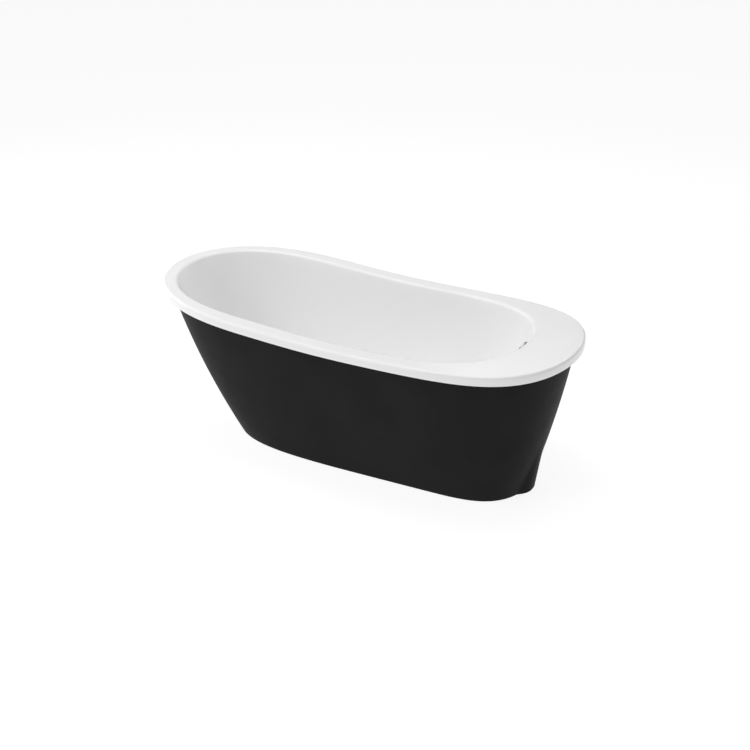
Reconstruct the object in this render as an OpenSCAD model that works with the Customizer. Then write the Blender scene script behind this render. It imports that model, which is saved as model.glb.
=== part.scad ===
// Freestanding bathtub: a moulded white basin bonded into a black outer skirt, on a board and
// steel cross rails with screw levelling feet, with a push stopper, drain shoe, slotted overflow,
// and an end riser whose waste tail drops to the floor inside the bulge at the drain end.
// Millimetres. +X is the drain end, -X the high backrest end, Z = 0 is the floor.

/* [Overall size] */
// Length over the rim
tub_l = 1676; // [1620:4:1720]
// Width over the rim
tub_w = 808; // [790:2:830]
// Height of the rim at the backrest end
tub_h = 644; // [620:2:660]
// Height of the flat deck at the drain end
deck_h = 579; // [565:1:595]

/* [Rim] */
// Place along the length where the rim is widest
rim_widest_x = -268; // [-300:2:-230]
// Squareness of the rim outline at the backrest end
rim_power_back = 2.7; // [2.3:0.1:3.2]
// Squareness of the rim outline at the drain end
rim_power_drain = 7.3; // [6:0.1:8]
// Place where the rim stops falling and the deck goes level
rise_x = -17; // [-60:1:40]
// Length over which that change of slope is eased
rise_ease = 85; // [50:5:120]
// Height of the turned-down lip
lip_h = 33; // [28:1:38]
// Radius of the rim's outer top edge
rim_round = 10.4; // [9:0.2:12]
// Radius of the rim's inner top edge
well_round = 12.5; // [10:0.5:15]
// Rim width at the backrest end
rim_back_w = 44.4; // [43:0.2:50]
// Rim width along the sides
rim_side_w = 59.3; // [56:0.1:64]
// Deck width at the drain end
deck_w = 182; // [176:1:190]

/* [Basin] */
// Wall thickness of the basin
basin_t = 7; // [6:0.5:8]
// Place along the length where the well is widest
well_widest_x = -295; // [-320:5:-260]
// Squareness of the well outline at the backrest end
well_power_back = 2.9; // [2.5:0.1:3.3]
// Squareness of the well outline at the drain end
well_power_drain = 6.6; // [5.6:0.1:7.4]
// Backrest end of the floor
floor_back_x = -420; // [-440:5:-400]
// Drain end of the floor
floor_drain_x = 530; // [520:5:545]
// Width of the floor
floor_w = 300; // [280:5:310]
// Height of the floor at its edge
floor_z = 120; // [118:1:124]
// Fall of the floor to the drain
floor_fall = 8; // [5:1:9]

/* [Skirt] */
// Wall thickness of the skirt
skirt_t = 5; // [4:0.5:6]
// Inset of the skirt's top from the rim's edge
skirt_inset = 32.3; // [30:0.1:34]
// Gap between the skirt and the floor
skirt_gap = 2; // [1:0.5:3]
// Base inset from the rim at the backrest end
base_back_inset = 286; // [270:2:290]
// Base inset from the rim at the drain end
base_drain_inset = 161; // [150:1:166]
// Width of the base
base_w = 406; // [400:2:430]
// Place along the length where the base is widest
base_widest_x = 278; // [250:2:300]
// Squareness of the base outline at the backrest end
base_power_back = 4.5; // [4:0.1:5]
// Squareness of the base outline at the drain end
base_power_drain = 4.8; // [4:0.1:5.4]
// Outward bow of the skirt at the backrest end
bow_back = 0.54; // [0.45:0.01:0.6]
// Outward bow of the skirt at the drain end
bow_drain = 0.33; // [0.25:0.01:0.4]
// Reach of the waste bulge at the floor
bulge_x = 701; // [698:1:708]
// Outward lean of the waste bulge
bulge_lean = 0.15; // [0.12:0.01:0.2]
// Half width at which the bulge has fallen back by bulge_drop
bulge_half_w = 70; // [66:1:78]
// How far the bulge falls back at that half width
bulge_drop = 38; // [30:1:42]
// Width of the inward hem at the skirt's foot
hem_w = 14; // [8:1:16]

/* [Waste] */
// Drain place along the length
drain_x = 430; // [425:1:435]
// Radius of the drain hole in the basin
drain_hole_r = 24.5; // [24.5:0.1:25]
// Radius of the waste tail that plugs into the floor drain
tube_r = 19.05; // [19.05:0.01:19.2]
// Wall of the waste tubing
tube_t = 1.5; // [1:0.1:2]
// Height of the horizontal waste pipe
waste_z = 74; // [73:0.5:75]
// Place of the riser and the waste tail
riser_x = 671; // [670:0.5:672]
// Exposed length of the waste tail
tail_len = 28; // [24:1:30]
// Lift of the stopper between shut and open
stopper_lift = 10; // [8:1:12]

/* [Overflow] */
// Height of the overflow slot below the deck
overflow_drop = 25; // [25:1:30]
// Length of the overflow slot
slot_l = 72; // [60:1:76]
// Height of the overflow slot
slot_h = 11; // [9:1:12]

/* [Base] */
// Board thickness
board_t = 15; // [12:1:15]
// Height of the board's top face
board_z = 100; // [98:1:102]
// Cross rail height
rail_h = 20; // [18:1:20]
// Cross rail width
rail_w = 40; // [36:1:44]
// Cross rail wall
rail_t = 2; // [1.5:0.5:2.5]
// Cross rail length
rail_l = 300; // [280:5:310]
// Foot spread across the tub
foot_y = 120; // [110:1:125]
// Radius of the levelling studs
stud_r = 6; // [6:0.5:6.5]
// Radius of the foot pads
pad_r = 25; // [22:1:28]

/* [Hidden] */

half_l = tub_l / 2;
half_w = tub_w / 2;
gap = 0.4;             // clearance between bonded or gasketed pieces
run = 0.05;            // running clearance of turning and sliding fits
around = 84;           // points around each shell
fine = 64;             // facets of round hardware
edge_r = 3;            // radius of the lip's lower edge
seal_t = 2.2;          // thickness of the bond under the rim
recess_r = 40;         // drain recess
recess_depth = 4;
drain_z = floor_z - floor_fall;
seat_z = drain_z - recess_depth;
under_z = seat_z - basin_t;
board_x = 370;         // drain end of the board, short of the drain shoe
rail_xs = [-330, 0, 290];
feet = [[rail_xs[0], -foot_y], [rail_xs[0], foot_y], [rail_xs[1], 0],
  [rail_xs[2], -foot_y], [rail_xs[2], foot_y]];
rail_z = board_z - board_t - rail_h;
weld_nut_h = 10;
lock_nut_h = 7;
nut_r = 11;
stud_top = rail_z + rail_h - rail_t - 3;
pin_r = 5;

// Shell profile: where the wall curve leaves the rim and where it meets the floor
wall_lean = [0.25, 0.45];
wall_foot = [0.5, 1];

// ---------- outlines ----------

// Point of an egg outline: a half-length and a squareness for each end
function egg(a, back, drain, mid, half, p_back, p_drain) =
  let (c = cos(a), reach = c < 0 ? mid - back : drain - mid, p = c < 0 ? p_back : p_drain)
  [mid + reach * c, half * sign(sin(a)) * sqrt(max(0, 1 - pow(abs(c), p)))];

// Angles bunch up towards the drain end, where the bulge needs finer steps
function turn(i) = let (a = 360 * i / around) a - 28 * sin(a);

function rim_at(i) =
  egg(turn(i), -half_l, half_l, rim_widest_x, half_w, rim_power_back, rim_power_drain);
function well_at(i) =
  egg(turn(i), rim_back_w - half_l, half_l - deck_w, well_widest_x, half_w - rim_side_w,
    well_power_back, well_power_drain);
function floor_at(i) =
  egg(turn(i), floor_back_x, floor_drain_x, 100, floor_w / 2, 3, 3.4);
function base_at(i) =
  egg(turn(i), base_back_inset - half_l, half_l - base_drain_inset, base_widest_x, base_w / 2,
    base_power_back, base_power_drain);

function unit(v) = v / max(norm(v), 0.000001);

// Outward plan normal of a closed outline given as a list
function plan_normal(line, i) =
  let (n = len(line), d = line[(i + 1) % n] - line[(i + n - 1) % n])
  unit([d[1], -d[0]]);

rim_line = [for (i = [0:around - 1]) rim_at(i)];
well_line = [for (i = [0:around - 1]) well_at(i)];
floor_line = [for (i = [0:around - 1]) floor_at(i)];
base_line = [for (i = [0:around - 1]) base_at(i)];
rim_normal = [for (i = [0:around - 1]) plan_normal(rim_line, i)];
well_normal = [for (i = [0:around - 1]) plan_normal(well_line, i)];

// ---------- rim height ----------

function soft_ramp(v) = ln(1 + exp(v));
function rim_z(x) =
  deck_h + (tub_h - deck_h) * soft_ramp((rise_x - x) / rise_ease)
    / soft_ramp((rise_x + half_l - rim_round) / rise_ease);

function rim_point(i, inset, drop) =
  let (p = rim_line[i] - rim_normal[i] * inset)
  [p[0], p[1], rim_z(p[0]) - drop];

// ---------- basin ----------

function bezier(t, a, b) =
  [3 * (1 - t) * (1 - t) * t * a[0] + 3 * (1 - t) * t * t * b[0] + t * t * t,
    3 * (1 - t) * (1 - t) * t * a[1] + 3 * (1 - t) * t * t * b[1] + t * t * t];

function ring_point(i, r, z) =
  [drain_x + r * cos(turn(i)), r * sin(turn(i)), z];

function floor_point(i, f) =
  let (edge = floor_line[i], rim = ring_point(i, recess_r, 0))
  [edge[0] * (1 - f) + rim[0] * f, edge[1] * (1 - f) + rim[1] * f,
    floor_z - floor_fall * f * f * (3 - 2 * f)];

// Tilt of the wall from upright where it leaves the rim
function wall_tilt(i) =
  atan(norm(well_line[i] - floor_line[i]) * wall_lean[0]
    / ((rim_z(well_line[i][0]) - floor_z) * wall_lean[1]));

function well_edge(i, a) =
  let (p = well_line[i] - well_normal[i] * well_round * sin(a))
  [p[0], p[1], rim_z(p[0]) - well_round * (1 - cos(a))];

function wall_point(i, t) =
  let (top = well_edge(i, 90 - wall_tilt(i)), w = bezier(t, wall_lean, wall_foot))
  [top[0] + (floor_line[i][0] - top[0]) * w[0],
    top[1] + (floor_line[i][1] - top[1]) * w[0],
    top[2] + (floor_z - top[2]) * w[1]];

function deck_point(i, f) =
  let (p = well_edge(i, 0) * (1 - f) + rim_point(i, rim_round, 0) * f)
  [p[0], p[1], rim_z(p[0])];

// The basin's upper face from the drain hole out to the foot of the lip
function basin_face(i) = concat(
  [ring_point(i, drain_hole_r, seat_z), ring_point(i, recess_r - 2.5, seat_z)],
  [for (f = [1, 0.75, 0.5, 0.25, 0]) floor_point(i, f)],
  [for (k = [9:-1:1]) wall_point(i, k / 10)],
  [for (f = [1, 0.75, 0.5, 0.25, 0]) well_edge(i, f * (90 - wall_tilt(i)))],
  [deck_point(i, 0.5)],
  [for (a = [0, 30, 60, 90])
    rim_point(i, rim_round * (1 - sin(a)), rim_round * (1 - cos(a)))],
  [rim_point(i, 0, lip_h - edge_r)]);

function lip_foot(i) = [for (a = [45, 90])
  rim_point(i, edge_r * (1 - cos(a)), lip_h - edge_r + edge_r * sin(a))];

// Point of a face grid moved inwards along the surface normal
function inside_point(g, i, j, t) =
  let (n = len(g), m = len(g[0]),
    along = g[i][min(j + 1, m - 1)] - g[i][max(j - 1, 0)],
    round_way = g[(i + 1) % n][j] - g[(i + n - 1) % n][j])
  g[i][j] - t * unit(cross(along, round_way));

// Closed solid whose section at each step round is a closed loop
module ring_solid(loops) {
  n = len(loops);
  m = len(loops[0]);
  points = [for (loop = loops) each loop];
  faces = [for (i = [0:n - 1]) for (j = [0:m - 1])
    let (a = i * m + j, b = ((i + 1) % n) * m + j,
      c = ((i + 1) % n) * m + (j + 1) % m, d = i * m + (j + 1) % m)
    each [[a, b, c], [a, c, d]]];
  polyhedron(points, faces, convexity = 6);
}

basin_grid = [for (i = [0:around - 1]) basin_face(i)];
basin_rows = len(basin_grid[0]);

module basin_shell() {
  ring_solid([for (i = [0:around - 1]) concat(
    basin_grid[i],
    lip_foot(i),
    [rim_point(i, basin_t, lip_h)],
    [for (j = [basin_rows - 1:-1:0]) inside_point(basin_grid, i, j, basin_t)])]);
}

// The overflow sits square to the wall just under the rim at the drain end
overflow_z = deck_h - overflow_drop;
overflow_tilt = wall_tilt(0);
overflow_x = half_l - deck_w - well_round * (1 - sin(overflow_tilt))
  - (overflow_drop - well_round) * tan(overflow_tilt);

module at_overflow() {
  translate([overflow_x, 0, overflow_z]) rotate([0, overflow_tilt, 0]) children();
}

// Bar with round ends, long across the tub, from x0 to x1
module pill(l, h, x0, x1) {
  translate([x0, -(l - h) / 2, -h / 2]) cube([x1 - x0, l - h, h]);
  for (s = [-1, 1]) {
    translate([x0, s * (l - h) / 2, 0]) rotate([0, 90, 0]) cylinder(h = x1 - x0, r = h / 2, $fn = fine);
  }
}

module basin() color("white") {
  difference() {
    basin_shell();
    at_overflow() pill(slot_l + 4, slot_h + 4, -30, 30);
    overflow_screw_holes(2.4);
  }
}

// ---------- skirt ----------

function skirt_top(i) = rim_point(i, skirt_inset, lip_h);

// Smooth larger-of, so the bulge grows out of the skirt with a soft crease
function soft_max(a, b) = (a + b + sqrt((a - b) * (a - b) + 16)) / 2;

function bulge_front(y, z) =
  bulge_x + bulge_lean * z - bulge_drop * pow(abs(y) / bulge_half_w, 2.7);

function skirt_point(i, u) =
  let (c = cos(turn(i)), bow = (c < 0 ? bow_back : bow_drain) * c * c,
    w = u - bow * u * (1 - u),
    top = skirt_top(i),
    x = top[0] + (base_line[i][0] - top[0]) * w,
    y = top[1] + (base_line[i][1] - top[1]) * w,
    z = skirt_gap + (top[2] - skirt_gap) * (1 - u))
  [c > 0 ? soft_max(x, bulge_front(y, z)) : x, y, z];

skirt_steps = 13;
skirt_grid = [for (i = [0:around - 1]) concat(
  [rim_point(i, skirt_inset, basin_t + seal_t + 1.4)],
  [for (k = [0:skirt_steps]) skirt_point(i, k / skirt_steps)])];
skirt_rows = len(skirt_grid[0]);

// Level outward normals of the skirt, row by row
skirt_back = [for (k = [0:skirt_rows - 1]) let (row = [for (g = skirt_grid) [g[k][0], g[k][1]]])
  [for (i = [0:around - 1]) let (n = plan_normal(row, i)) [n[0], n[1], 0]]];

// The hem narrows to the wall's own thickness behind the waste tail
function hem(i) = skirt_t + 0.6 + (hem_w - skirt_t) * (1 - pow(max(0, cos(turn(i))), 8));

module skirt() color("#1c1c1c") {
  last = skirt_rows - 1;
  ring_solid([for (i = [0:around - 1]) concat(
    skirt_grid[i],
    [skirt_grid[i][last] - hem(i) * skirt_back[last][i],
      skirt_grid[i][last] - hem(i) * skirt_back[last][i] + [0, 0, skirt_t],
      skirt_grid[i][last] - skirt_t * skirt_back[last][i] + [0, 0, skirt_t]],
    [for (k = [last - 1:-1:0]) skirt_grid[i][k] - skirt_t * skirt_back[k][i]])]);
}

module rim_sealant() color("gainsboro") {
  high = basin_t + 0.5;
  far = skirt_inset + skirt_t + 1;
  ring_solid([for (i = [0:around - 1])
    [rim_point(i, skirt_inset - 1, high), rim_point(i, skirt_inset - 1, high + seal_t),
      rim_point(i, far, high + seal_t), rim_point(i, far, high)]]);
}

// ---------- shared shapes ----------

// Upright ring or tube between two heights
module ring(r_out, r_in, z0, z1) {
  translate([0, 0, z0]) difference() {
    cylinder(h = z1 - z0, r = r_out, $fn = fine);
    translate([0, 0, -1]) cylinder(h = z1 - z0 + 2, r = r_in, $fn = fine);
  }
}

// Upright hexagon nut measured over its corners
module hex_nut(r_out, r_in, z0, z1) {
  translate([0, 0, z0]) difference() {
    cylinder(h = z1 - z0, r = r_out, $fn = 6);
    translate([0, 0, -1]) cylinder(h = z1 - z0 + 2, r = r_in, $fn = fine);
  }
}

module lying(x, z) {
  translate([x, 0, z]) rotate([0, 90, 0]) children();
}

// ---------- base ----------

// Laminate between the sloping floor and the flat board
bedding_steps = [0.62, 0.44, 0.25, 0.06];
function bedding_top(i, f) = floor_point(i, f) - [0, 0, basin_t + gap];
function bedding_foot(i, f) = let (p = floor_point(i, f)) [p[0], p[1], board_z + gap / 2];

module floor_bedding() color("wheat") {
  difference() {
    ring_solid([for (i = [0:around - 1]) concat(
      [for (f = bedding_steps) bedding_top(i, f)],
      [for (k = [len(bedding_steps) - 1:-1:0]) bedding_foot(i, bedding_steps[k])])]);
    translate([board_x - 4, -floor_w, 0]) cube([400, 2 * floor_w, 200]);
  }
}

module base_board() color("burlywood") {
  screw_r = 2.6;
  difference() {
    translate([0, 0, board_z - board_t]) intersection() {
      linear_extrude(board_t) polygon([for (p = floor_line) [p[0] * 0.98, p[1] * 0.96]]);
      translate([floor_back_x, -floor_w, 0])
        cube([board_x - floor_back_x, 2 * floor_w, board_t]);
    }
    for (p = screw_places) {
      translate([p[0], p[1], board_z - board_t - 1]) cylinder(h = screw_bite + 1.5, r = screw_r, $fn = 24);
    }
  }
}

screw_bite = 11;
screw_places = [for (x = rail_xs) for (s = [-1, 1]) [x, s * 75]];

module cross_rail(x, feet_here) {
  over = rail_t + 1;
  difference() {
    translate([x - rail_w / 2, -rail_l / 2, rail_z]) cube([rail_w, rail_l, rail_h]);
    translate([x - rail_w / 2 + rail_t, -rail_l / 2 - 1, rail_z + rail_t])
      cube([rail_w - 2 * rail_t, rail_l + 2, rail_h - 2 * rail_t]);
    for (y = feet_here) {
      translate([x, y, rail_z - 1]) cylinder(h = over + 0.5, r = stud_r + 0.5, $fn = fine);
    }
    for (s = [-1, 1]) {
      translate([x, s * 75, rail_z - 1]) cylinder(h = rail_h + 2, r = 2.8, $fn = 24);
    }
  }
}

module rail_back() color("silver") cross_rail(rail_xs[0], [-foot_y, foot_y]);
module rail_middle() color("silver") cross_rail(rail_xs[1], [0]);
module rail_drain() color("silver") cross_rail(rail_xs[2], [-foot_y, foot_y]);

module rail_screws() color("dimgray") {
  for (p = screw_places) {
    translate([p[0], p[1], 0]) {
      translate([0, 0, rail_z - 3.2]) cylinder(h = 3, r = 5.5, $fn = 32);
      translate([0, 0, rail_z - 0.3]) cylinder(h = rail_h + screw_bite, r = 2.4, $fn = 24);
    }
  }
}

module foot_weld_nuts() color("silver") {
  for (p = feet) {
    translate([p[0], p[1], 0]) hex_nut(nut_r, stud_r + run, rail_z - weld_nut_h, rail_z - 0.05);
  }
}

module foot_lock_nuts() color("silver") {
  top = rail_z - weld_nut_h - gap;
  for (p = feet) {
    translate([p[0], p[1], 0]) hex_nut(nut_r, stud_r + run, top - lock_nut_h, top);
  }
}

// Threaded stud with a wrench hexagon, ending in a pin that turns in the pad
module foot_stud(p) color("silver") {
  translate([p[0], p[1], 0]) {
    translate([0, 0, pad_floor + 0.3]) cylinder(h = pad_top, r = pin_r, $fn = fine);
    translate([0, 0, pad_top + 0.3]) cylinder(h = 8, r = 9.5, $fn = 6);
    translate([0, 0, pad_top + 8]) cylinder(h = stud_top - pad_top - 8, r = stud_r, $fn = fine);
  }
}

pad_floor = 4;
pad_top = 14;

module foot_pad(p) color("#303030") {
  translate([p[0], p[1], 0]) difference() {
    union() {
      cylinder(h = 5, r = pad_r, $fn = fine);
      translate([0, 0, 5]) cylinder(h = 3, r1 = pad_r - 2, r2 = pin_r + 6, $fn = fine);
      cylinder(h = pad_top, r = pin_r + 5, $fn = fine);
    }
    translate([0, 0, pad_floor]) cylinder(h = pad_top, r = pin_r + run, $fn = fine);
  }
}

// ---------- drain ----------

flange_t = 3;
flange_z = seat_z + 1.5;
barrel_r = drain_hole_r - 1;
throat_r = barrel_r - 3;
hub_z = flange_z - 22;
hub_h = 5;
post_r = 4;

module at_drain() {
  translate([drain_x, 0, 0]) children();
}

// Strainer body: dished flange, threaded barrel, and a cross that guides the stopper's post
module drain_flange() color("silver") at_drain() {
  difference() {
    union() {
      translate([0, 0, flange_z]) cylinder(h = flange_t, r = recess_r - 4, $fn = fine);
      translate([0, 0, hub_z - 6]) cylinder(h = flange_z - hub_z + 6, r = barrel_r, $fn = fine);
    }
    translate([0, 0, hub_z - 7]) cylinder(h = 40, r = throat_r, $fn = fine);
    translate([0, 0, flange_z + 1.5]) cylinder(h = 2, r1 = throat_r, r2 = throat_r + 3, $fn = fine);
  }
  difference() {
    union() {
      translate([0, 0, hub_z]) cylinder(h = hub_h, r = 7.5, $fn = fine);
      for (a = [0, 90]) {
        rotate([0, 0, a]) translate([-throat_r - 0.5, -1.75, hub_z]) cube([2 * throat_r + 1, 3.5, hub_h]);
      }
    }
    translate([0, 0, hub_z - 1]) cylinder(h = hub_h + 2, r = post_r + run, $fn = fine);
  }
}

module flange_washer() color("whitesmoke") at_drain() {
  ring(recess_r - 5, drain_hole_r, seat_z + 0.1, flange_z - 0.1);
}

module drain_gasket() color("#252525") at_drain() {
  ring(34, drain_hole_r, shoe_top + 0.1, under_z - 0.2);
}

shoe_top = under_z - 4.5;
pipe_r = tube_r - 0.3;   // thinner tubing between the fittings
socket_r = tube_r + 3.5;
bore_r = pipe_r + 0.2;
socket_end = 48;

// Elbow that the strainer screws into, with a socket for the horizontal pipe
module drain_shoe() color("#2b2b2b") at_drain() {
  difference() {
    union() {
      translate([0, 0, shoe_top - 4]) cylinder(h = 4, r = 34, $fn = fine);
      translate([0, 0, waste_z]) cylinder(h = shoe_top - waste_z - 2, r = barrel_r + 3.5, $fn = fine);
      translate([0, 0, waste_z]) sphere(r = barrel_r + 3.5, $fn = fine);
      lying(0, waste_z) cylinder(h = socket_end, r = socket_r, $fn = fine);
    }
    translate([0, 0, waste_z]) cylinder(h = 60, r = barrel_r + 0.3, $fn = fine);
    translate([0, 0, waste_z]) sphere(r = barrel_r - 0.5, $fn = fine);
    lying(0, waste_z) cylinder(h = socket_end + 1, r = bore_r, $fn = fine);
  }
}

// ---------- stopper ----------

cap_r = 27;
cap_z = flange_z + flange_t + 2.6;

module stopper_cap() color("silver") at_drain() {
  dome = 60;
  translate([0, 0, cap_z]) cylinder(h = 2.5, r = cap_r, $fn = fine);
  intersection() {
    translate([0, 0, cap_z + 2.4]) cylinder(h = 10, r = cap_r - 1.5, $fn = fine);
    translate([0, 0, cap_z + 8.5 - dome]) sphere(r = dome, $fn = fine);
  }
}

module stopper_seal() color("#252525") at_drain() {
  ring(throat_r + 4, post_r + 3, cap_z - 2.3, cap_z - 0.1);
}

module stopper_post() color("goldenrod") at_drain() {
  translate([0, 0, cap_z - 3.5]) cylinder(h = 3.4, r = post_r + 2.6, $fn = fine);
  translate([0, 0, hub_z - stopper_lift - 3]) cylinder(h = cap_z - hub_z + stopper_lift, r = post_r, $fn = fine);
  // collar under the hub that stops the lift
  translate([0, 0, hub_z - stopper_lift - 3.2]) cylinder(h = 3, r = post_r + 2.5, $fn = fine);
}

// ---------- waste and overflow pipework ----------

nut_wide = socket_r + 4.5;
nut_long = 16;
tee_arm = 30;
tee_side = 38;
tee_low = waste_z - tee_arm;
tee_high = waste_z + tee_arm;
elbow_low = overflow_z - 44;
shoe_mouth = drain_x + socket_end;
tee_mouth = riser_x - tee_side;

module waste_pipe() color("silver") {
  x0 = shoe_mouth - 22;
  lying(x0, waste_z) ring(pipe_r, pipe_r - tube_t, 0, tee_mouth + 8 - x0);
}

module waste_tee() color("#2b2b2b") {
  difference() {
    union() {
      translate([riser_x, 0, tee_low]) cylinder(h = 2 * tee_arm, r = socket_r, $fn = fine);
      lying(tee_mouth, waste_z) cylinder(h = tee_side, r = socket_r, $fn = fine);
    }
    translate([riser_x, 0, tee_low - 1]) cylinder(h = 2 * tee_arm + 2, r = bore_r, $fn = fine);
    lying(tee_mouth - 1, waste_z) cylinder(h = tee_side + 1, r = bore_r, $fn = fine);
  }
}

// Grip nut that slides up to a socket's mouth; its collar draws the washer onto the tube
module slip_nut() {
  difference() {
    union() {
      cylinder(h = nut_long, r = nut_wide - 1.2, $fn = fine);
      for (k = [0:7]) {
        rotate([0, 0, 45 * k + 22.5]) translate([nut_wide - 3, -2.5, 1]) cube([2.6, 5, nut_long - 2]);
      }
    }
    translate([0, 0, -1]) cylinder(h = nut_long + 2, r = pipe_r + 0.4, $fn = fine);
    translate([0, 0, 7]) cylinder(h = nut_long, r = socket_r + 0.3, $fn = fine);
  }
}

// A socket's mouth and the way it faces
module at_mouths() {
  translate([shoe_mouth + 10, 0, waste_z]) rotate([0, -90, 0]) children();
  translate([tee_mouth - 10, 0, waste_z]) rotate([0, 90, 0]) children();
  translate([riser_x, 0, tee_low - 10]) children();
  translate([riser_x, 0, tee_high + 10]) rotate([180, 0, 0]) children();
  translate([riser_x, 0, elbow_low - 10]) children();
}

module slip_nuts() color("#2b2b2b") at_mouths() slip_nut();

module slip_washers() color("whitesmoke") at_mouths() {
  ring(socket_r - 0.6, pipe_r + 0.1, 7.2, 9.6);
}

module tail_pipe() color("silver") {
  low = tee_low - 10.6 - tail_len;
  translate([riser_x, 0, 0]) difference() {
    union() {
      translate([0, 0, low]) cylinder(h = tail_len, r = tube_r, $fn = fine);
      translate([0, 0, low + tail_len]) cylinder(h = 26, r = pipe_r, $fn = fine);
    }
    translate([0, 0, low - 1]) cylinder(h = tail_len + 28, r = pipe_r - tube_t, $fn = fine);
  }
}

module riser_pipe() color("silver") {
  translate([riser_x, 0, 0]) ring(pipe_r, pipe_r - tube_t, tee_high - 16, elbow_low + 18);
}

plate_l = slot_l + 26;
plate_h = slot_h + 21;
face_h = slot_h + 25;
wall_back = basin_t + 1;
plate_x = -12;         // face of the trim plate, proud of the curved wall
plate_t = 6.5;
screw_y = slot_l / 2 + 7;
neck_r = 16.5;
socket_deep = 27;

// Chamber behind the slot that turns the overflow down into the riser
module overflow_elbow() color("#2b2b2b") {
  difference() {
    union() {
      at_overflow() pill(plate_l, plate_h, wall_back + 2.4, wall_back + 5.4);
      at_overflow() pill(slot_l + 6, slot_h + 10, wall_back + 5, 32);
      translate([riser_x, 0, elbow_low]) cylinder(h = socket_deep, r = socket_r, $fn = fine);
      translate([riser_x, 0, elbow_low + 20]) cylinder(h = 22, r = neck_r, $fn = fine);
    }
    at_overflow() pill(slot_l, slot_h, wall_back, 29);
    translate([riser_x, 0, elbow_low - 1]) cylinder(h = socket_deep - 3, r = bore_r, $fn = fine);
    translate([riser_x, 0, elbow_low + 20]) cylinder(h = 21, r = neck_r - 3, $fn = fine);
    overflow_screw_holes(2.2);
  }
}

module overflow_screw_holes(r) {
  for (s = [-1, 1]) {
    at_overflow() translate([plate_x - 2, s * screw_y, 0]) rotate([0, 90, 0]) cylinder(h = 30, r = r, $fn = 24);
  }
}

module overflow_gasket() color("#252525") {
  difference() {
    at_overflow() pill(plate_l - 2, plate_h - 2, wall_back + 0.2, wall_back + 2.2);
    at_overflow() pill(slot_l, slot_h, wall_back - 1, wall_back + 3);
    overflow_screw_holes(2.4);
  }
}

// Oval plate, long across the tub, from x0 to x1
module oval(l, h, x0, x1) {
  translate([x0, 0, 0]) rotate([0, 90, 0]) scale([h / l, 1, 1]) cylinder(h = x1 - x0, r = l / 2, $fn = fine);
}

// Oval trim plate inside the well with a spigot through the wall
module overflow_bezel() color("silver") {
  difference() {
    union() {
      at_overflow() oval(plate_l, face_h, plate_x, plate_x + plate_t);
      at_overflow() pill(slot_l + 3, slot_h + 3, plate_x + 1, wall_back);
    }
    at_overflow() pill(slot_l, slot_h, plate_x - 1, wall_back + 1);
    overflow_screw_holes(2.2);
  }
}

module overflow_screws() color("silver") {
  for (s = [-1, 1]) {
    at_overflow() translate([0, s * screw_y, 0]) rotate([0, 90, 0]) {
      translate([0, 0, plate_x - 1.8]) cylinder(h = 1.7, r = 3.6, $fn = 32);
      translate([0, 0, plate_x - 0.5]) cylinder(h = wall_back + 18, r = 2, $fn = 24);
    }
  }
}

basin();
skirt();
rim_sealant();
floor_bedding();
base_board();
rail_back();
rail_middle();
rail_drain();
rail_screws();
foot_weld_nuts();
foot_lock_nuts();
drain_flange();
flange_washer();
drain_gasket();
drain_shoe();
stopper_cap();
stopper_seal();
stopper_post();
waste_pipe();
waste_tee();
slip_nuts();
slip_washers();
tail_pipe();
riser_pipe();
overflow_elbow();
overflow_gasket();
overflow_bezel();
overflow_screws();
foot_stud(feet[0]);  // foot_stud_1
foot_stud(feet[1]);  // foot_stud_2
foot_stud(feet[2]);  // foot_stud_3
foot_stud(feet[3]);  // foot_stud_4
foot_stud(feet[4]);  // foot_stud_5
foot_pad(feet[0]);  // foot_pad_1
foot_pad(feet[1]);  // foot_pad_2
foot_pad(feet[2]);  // foot_pad_3
foot_pad(feet[3]);  // foot_pad_4
foot_pad(feet[4]);  // foot_pad_5
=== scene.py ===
import math

import bmesh
import bpy
import numpy as np
from mathutils import Matrix, Vector


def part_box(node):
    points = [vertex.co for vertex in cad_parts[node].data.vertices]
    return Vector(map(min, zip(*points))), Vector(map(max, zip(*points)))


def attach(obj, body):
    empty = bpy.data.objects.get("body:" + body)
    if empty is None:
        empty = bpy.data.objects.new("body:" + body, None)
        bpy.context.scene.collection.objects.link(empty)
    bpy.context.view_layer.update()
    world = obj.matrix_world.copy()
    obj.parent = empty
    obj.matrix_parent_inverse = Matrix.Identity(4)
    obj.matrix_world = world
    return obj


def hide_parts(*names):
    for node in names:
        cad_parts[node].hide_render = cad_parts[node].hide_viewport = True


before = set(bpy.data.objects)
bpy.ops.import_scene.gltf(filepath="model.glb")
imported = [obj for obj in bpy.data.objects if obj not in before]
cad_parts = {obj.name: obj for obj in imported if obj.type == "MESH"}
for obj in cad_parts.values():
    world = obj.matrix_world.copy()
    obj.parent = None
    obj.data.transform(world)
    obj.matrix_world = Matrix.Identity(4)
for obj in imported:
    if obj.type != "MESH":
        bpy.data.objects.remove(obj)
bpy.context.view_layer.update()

# Freestanding slipper bathtub. Metres, +X towards the drain end, +Z up, floor at Z = 0.

# ---------- driving dimensions, as in the CAD model ----------

HALF_L = 0.838
HALF_W = 0.404
HIGH_Z = 0.644
DECK_Z = 0.579

RIM_WIDEST_X = -0.268
RIM_POWER = (2.7, 7.3)
RISE_X = -0.017
RISE_EASE = 0.085
LIP_H = 0.033
RIM_ROUND = 0.0104
WELL_ROUND = 0.0125
RIM_BACK_W = 0.0444
RIM_SIDE_W = 0.0593
DECK_W = 0.182
LIP_EDGE = 0.003

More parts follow.
